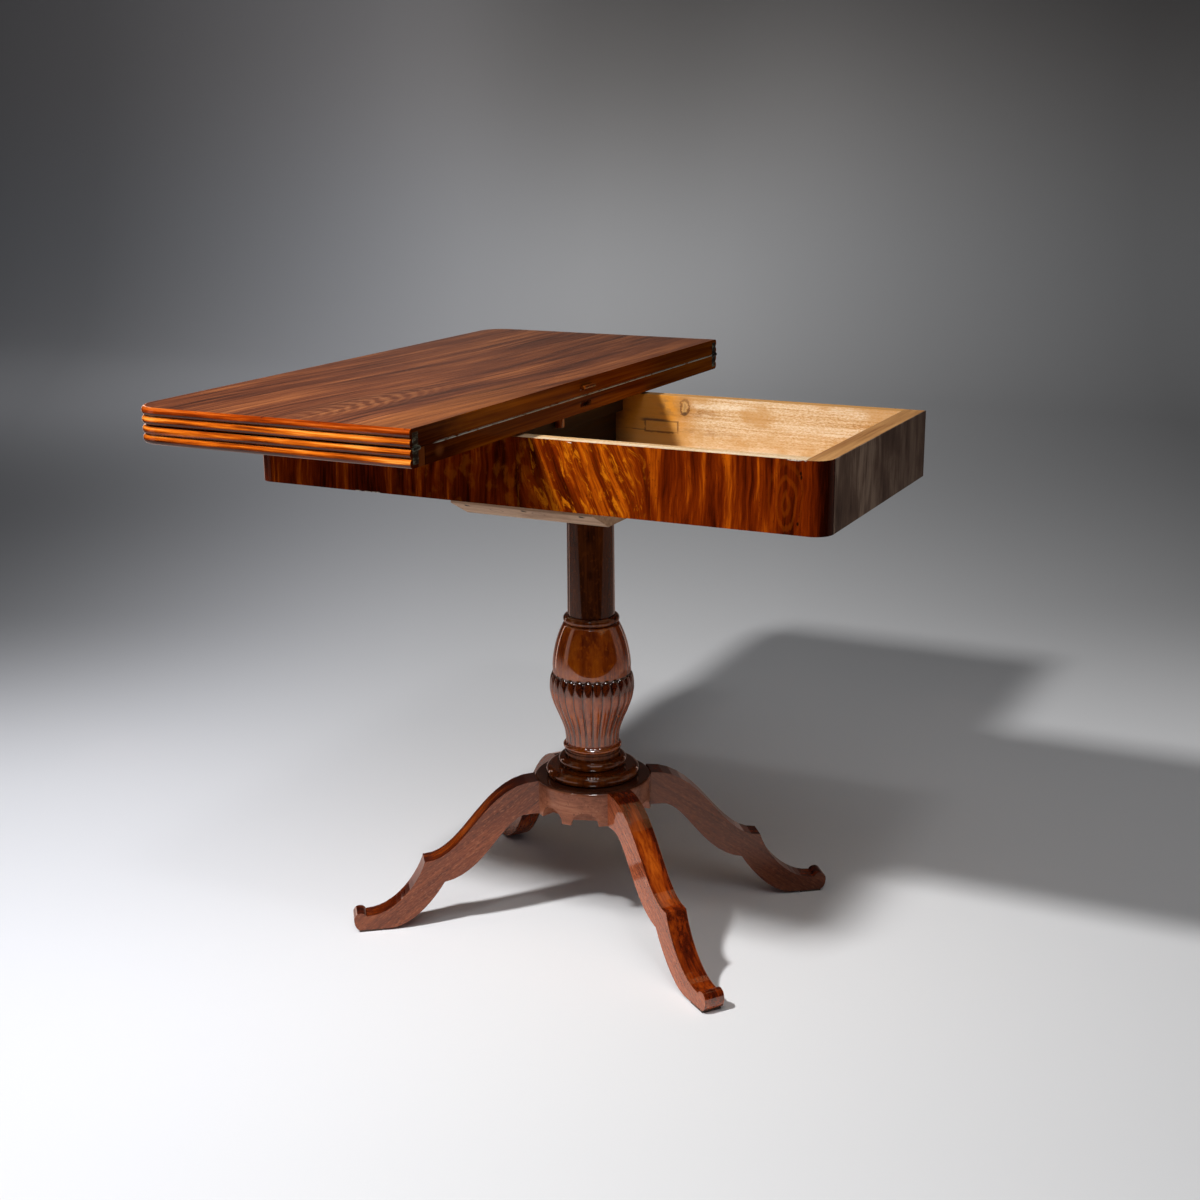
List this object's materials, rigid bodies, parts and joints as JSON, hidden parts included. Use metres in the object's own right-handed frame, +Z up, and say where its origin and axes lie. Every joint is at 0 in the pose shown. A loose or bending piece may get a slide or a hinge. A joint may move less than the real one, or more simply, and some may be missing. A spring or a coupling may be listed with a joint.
{
  "type": "games table",
  "caption": "Pedestal games table: two reeded leaves fold, then the top swivels over a storage well on a lobed pillar with sabre legs.",
  "frame": {"origin": "on the floor under the pillar's axis", "axes": "+Z up, X along the frame, -Y towards the veneered front; the top is stored swung a quarter turn off the frame, its leaves folded, as in the picture"},
  "size_m": [0.786, 0.857, 0.75],
  "materials": {
    "mahogany": "satin polished",
    "dark_mahogany": "high gloss",
    "lipping_wood": "polished",
    "veneer": "high gloss",
    "pale_wood": "raw",
    "brown_wood": "raw, aged",
    "brass": "dull patina",
    "iron": "blackened",
    "leather": "worn"
  },
  "bodies": {
    "stand": {"foot_pads": "leather", "leg_front_left": "mahogany", "leg_front_right": "mahogany", "leg_back_left": "mahogany", "leg_back_right": "mahogany", "hub": "mahogany", "leg_brace": "iron", "brace_screws": "iron", "base_moulding": "dark_mahogany", "column_vase": "dark_mahogany", "column_collar": "dark_mahogany", "column_shaft": "dark_mahogany", "tenon_wedges": "brown_wood", "bearer_board": "pale_wood", "bearer_screws": "iron", "front_rail": "pale_wood", "back_rail": "brown_wood", "left_end_rail": "brown_wood", "right_end_rail": "brown_wood", "front_veneer": "veneer", "left_end_veneer": "veneer", "right_end_veneer": "veneer", "pivot_rail": "pale_wood", "well_partition": "pale_wood", "well_floor": "pale_wood", "glue_blocks": "pale_wood", "repair_patch": "pale_wood", "glide_pads": "leather", "pivot_bush": "brass"},
    "lower_leaf": {"lower_leaf_board": "mahogany", "lower_leaf_lipping": "lipping_wood", "pivot_plate": "iron", "pivot_plate_screws": "iron", "pivot_bolt": "iron", "pivot_collar": "iron", "pivot_washer": "iron", "pivot_nut": "iron", "stop_peg": "mahogany", "lower_hinge_straps": "brass", "lower_hinge_screws": "brass", "hinge_pins": "brass"},
    "upper_leaf": {"upper_leaf_board": "mahogany", "upper_leaf_lipping": "lipping_wood", "leaf_tongue": "dark_mahogany", "upper_hinge_straps": "brass", "upper_hinge_screws": "brass"}
  },
  "joints": [
    {"name": "top_swivel", "type": "hinge", "parent": "stand", "child": "lower_leaf", "pos_m": [-0.09825, 0.09825, 0.69], "axis": [0, 0, 1], "range_deg": [0, 90]},
    {"name": "leaf_fold", "type": "hinge", "parent": "lower_leaf", "child": "upper_leaf", "pos_m": [0, 0, 0.7281], "axis": [0, 1, 0], "range_deg": [0, 180]}
  ]
}
